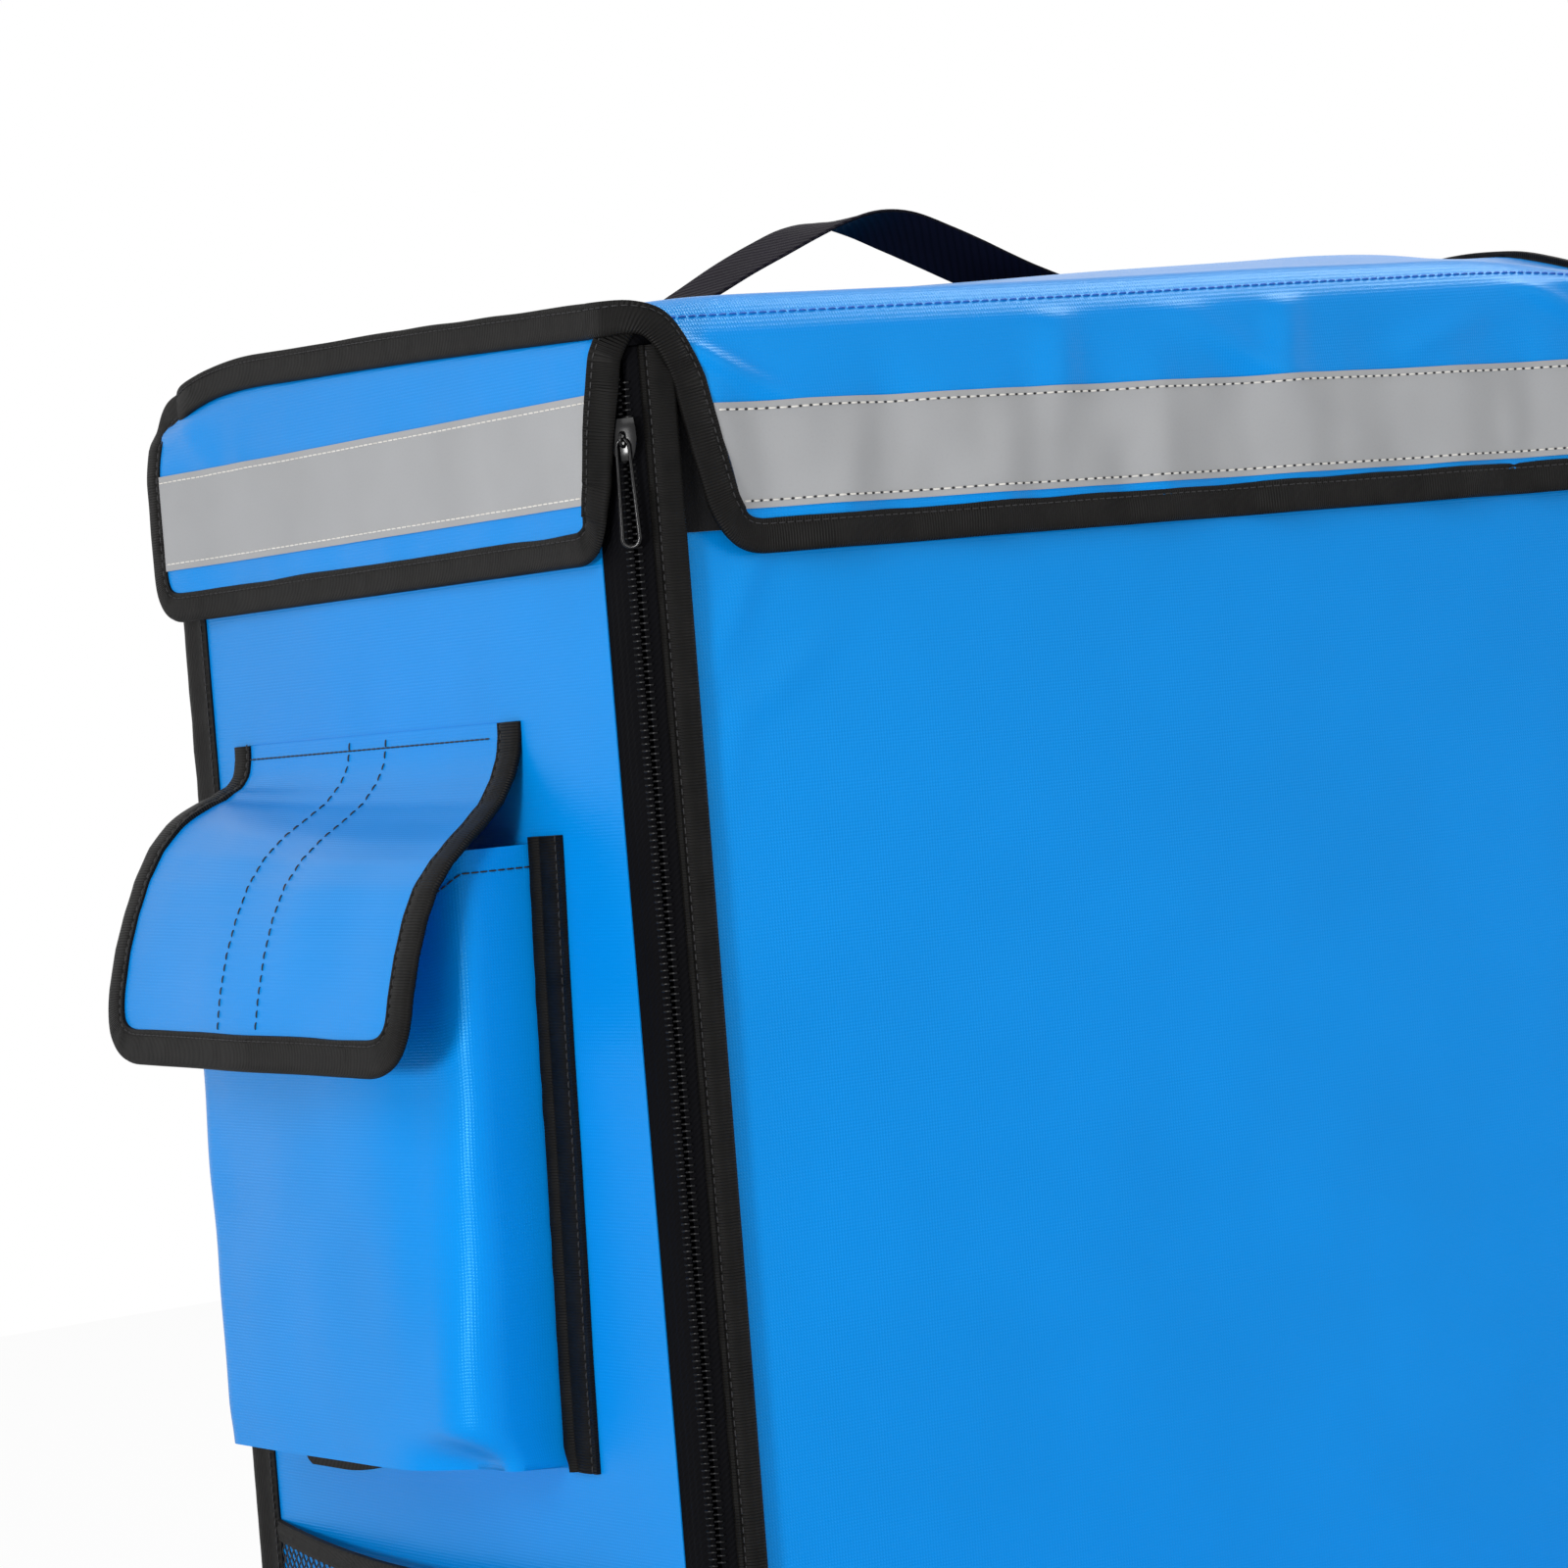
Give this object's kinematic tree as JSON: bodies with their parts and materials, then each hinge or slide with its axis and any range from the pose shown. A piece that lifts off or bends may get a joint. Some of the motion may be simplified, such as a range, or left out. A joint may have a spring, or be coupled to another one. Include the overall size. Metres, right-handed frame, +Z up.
{
  "type": "food delivery backpack",
  "caption": "Tall insulated box backpack with a flapped lid, a zipped drop-down front, side pockets, a carry handle and shoulder straps, for carrying hot or cold food",
  "frame": {"origin": "centre of the flat base, on the floor", "axes": "X along the front from the pocket side to the other side, Y from the front to the back, Z up from the base"},
  "size_m": [0.5917, 0.4283, 0.607],
  "materials": {
    "blue_cloth": "coated cloth, semi-gloss blue",
    "foam_board": "closed-cell foam board, white",
    "foil": "foil lining, satin silver",
    "black_tape": "ribbed binding tape, black",
    "zip_nylon": "nylon coil on woven tape, black",
    "black_metal": "smooth gloss black",
    "reflective": "retroreflective tape, grey silver",
    "webbing": "flat webbing, very dark purple",
    "netting": "elastic net, black",
    "air_mesh": "padded spacer mesh, charcoal",
    "acetal": "moulded plastic, black"
  },
  "bodies": {
    "shell": {"base_panel": "blue_cloth", "base_foam": "foam_board", "base_liner": "foil", "back_panel": "blue_cloth", "back_foam": "foam_board", "back_liner": "foil", "back_pad": "air_mesh", "phone_pocket": "blue_cloth", "pocket_binding_front": "black_tape", "pocket_binding_back": "black_tape", "left_panel": "blue_cloth", "left_foam": "foam_board", "left_liner": "foil", "left_zip_wall_half": "zip_nylon", "left_mesh_pocket": "netting", "left_mesh_hem": "black_tape", "left_shoulder_strap": "air_mesh", "left_ladder_lock": "acetal", "left_strap_webbing": "webbing", "back_binding_left": "black_tape", "right_panel": "blue_cloth", "right_foam": "foam_board", "right_liner": "foil", "right_zip_wall_half": "zip_nylon", "right_mesh_pocket": "netting", "right_mesh_hem": "black_tape", "right_shoulder_strap": "air_mesh", "right_ladder_lock": "acetal", "right_strap_webbing": "webbing", "back_binding_right": "black_tape"},
    "front_door": {"front_panel": "blue_cloth", "front_foam": "foam_board", "front_liner": "foil", "front_loop_strip": "black_tape", "left_zip_door_half": "zip_nylon", "front_binding_left": "black_tape", "right_zip_door_half": "zip_nylon", "front_binding_right": "black_tape"},
    "lid": {"lid_panel": "blue_cloth", "lid_foam": "foam_board", "lid_liner": "foil", "top_handle": "webbing", "lid_binding_left": "black_tape", "lid_binding_right": "black_tape"},
    "front_cover_flap": {"front_flap": "blue_cloth", "front_flap_binding": "black_tape", "front_reflector": "reflective"},
    "left_cover_flap": {"left_flap": "blue_cloth", "left_flap_binding": "black_tape", "left_reflector": "reflective"},
    "right_cover_flap": {"right_flap": "blue_cloth", "right_flap_binding": "black_tape", "right_reflector": "reflective"},
    "pocket_cover": {"pocket_flap": "blue_cloth", "pocket_flap_binding": "black_tape"},
    "left_zip_slider": {"left_slider": "black_metal"},
    "left_zip_pull": {"left_puller": "black_metal"},
    "right_zip_slider": {"right_slider": "black_metal"},
    "right_zip_pull": {"right_puller": "black_metal"}
  },
  "joints": [
    {"name": "front_door_hinge", "type": "hinge", "parent": "shell", "child": "front_door", "pos_m": [0, -0.1715, 0.0109], "axis": [1, 0, 0], "range_deg": [0, 90], "deforming": ["front_flap", "front_flap_binding", "front_reflector"]},
    {"name": "lid_hinge", "type": "hinge", "parent": "shell", "child": "lid", "pos_m": [0, 0.1715, 0.5394], "axis": [-1, 0, 0], "range_deg": [0, 110]},
    {"name": "front_flap_hinge", "type": "hinge", "parent": "lid", "child": "front_cover_flap", "pos_m": [0, -0.1765, 0.549], "axis": [-1, 0, 0], "range_deg": [0, 90]},
    {"name": "left_flap_hinge", "type": "hinge", "parent": "lid", "child": "left_cover_flap", "pos_m": [-0.253, 0, 0.549], "axis": [0, 1, 0], "range_deg": [0, 90]},
    {"name": "right_flap_hinge", "type": "hinge", "parent": "lid", "child": "right_cover_flap", "pos_m": [0.253, 0, 0.549], "axis": [0, -1, 0], "range_deg": [0, 90]},
    {"name": "pocket_flap_hinge", "type": "hinge", "parent": "shell", "child": "pocket_cover", "pos_m": [-0.25137, 0.0255, 0.412], "axis": [0, 1, 0], "range_deg": [0, 90]},
    {"name": "left_zip_slide", "type": "slide", "parent": "front_door", "child": "left_zip_slider", "axis": [-0.0126, 0, -0.9999], "range_m": [0, 0.45]},
    {"name": "left_pull_hinge", "type": "hinge", "parent": "left_zip_slider", "child": "left_zip_pull", "pos_m": [-0.24896, -0.16879, 0.507], "axis": [-0.6215, 0.7834, 0], "range_deg": [0, 120]},
    {"name": "right_zip_slide", "type": "slide", "parent": "front_door", "child": "right_zip_slider", "axis": [0.0126, 0, -0.9999], "range_m": [0, 0.45]},
    {"name": "right_pull_hinge", "type": "hinge", "parent": "right_zip_slider", "child": "right_zip_pull", "pos_m": [0.24896, -0.16879, 0.507], "axis": [-0.6215, -0.7834, 0], "range_deg": [0, 120]}
  ]
}
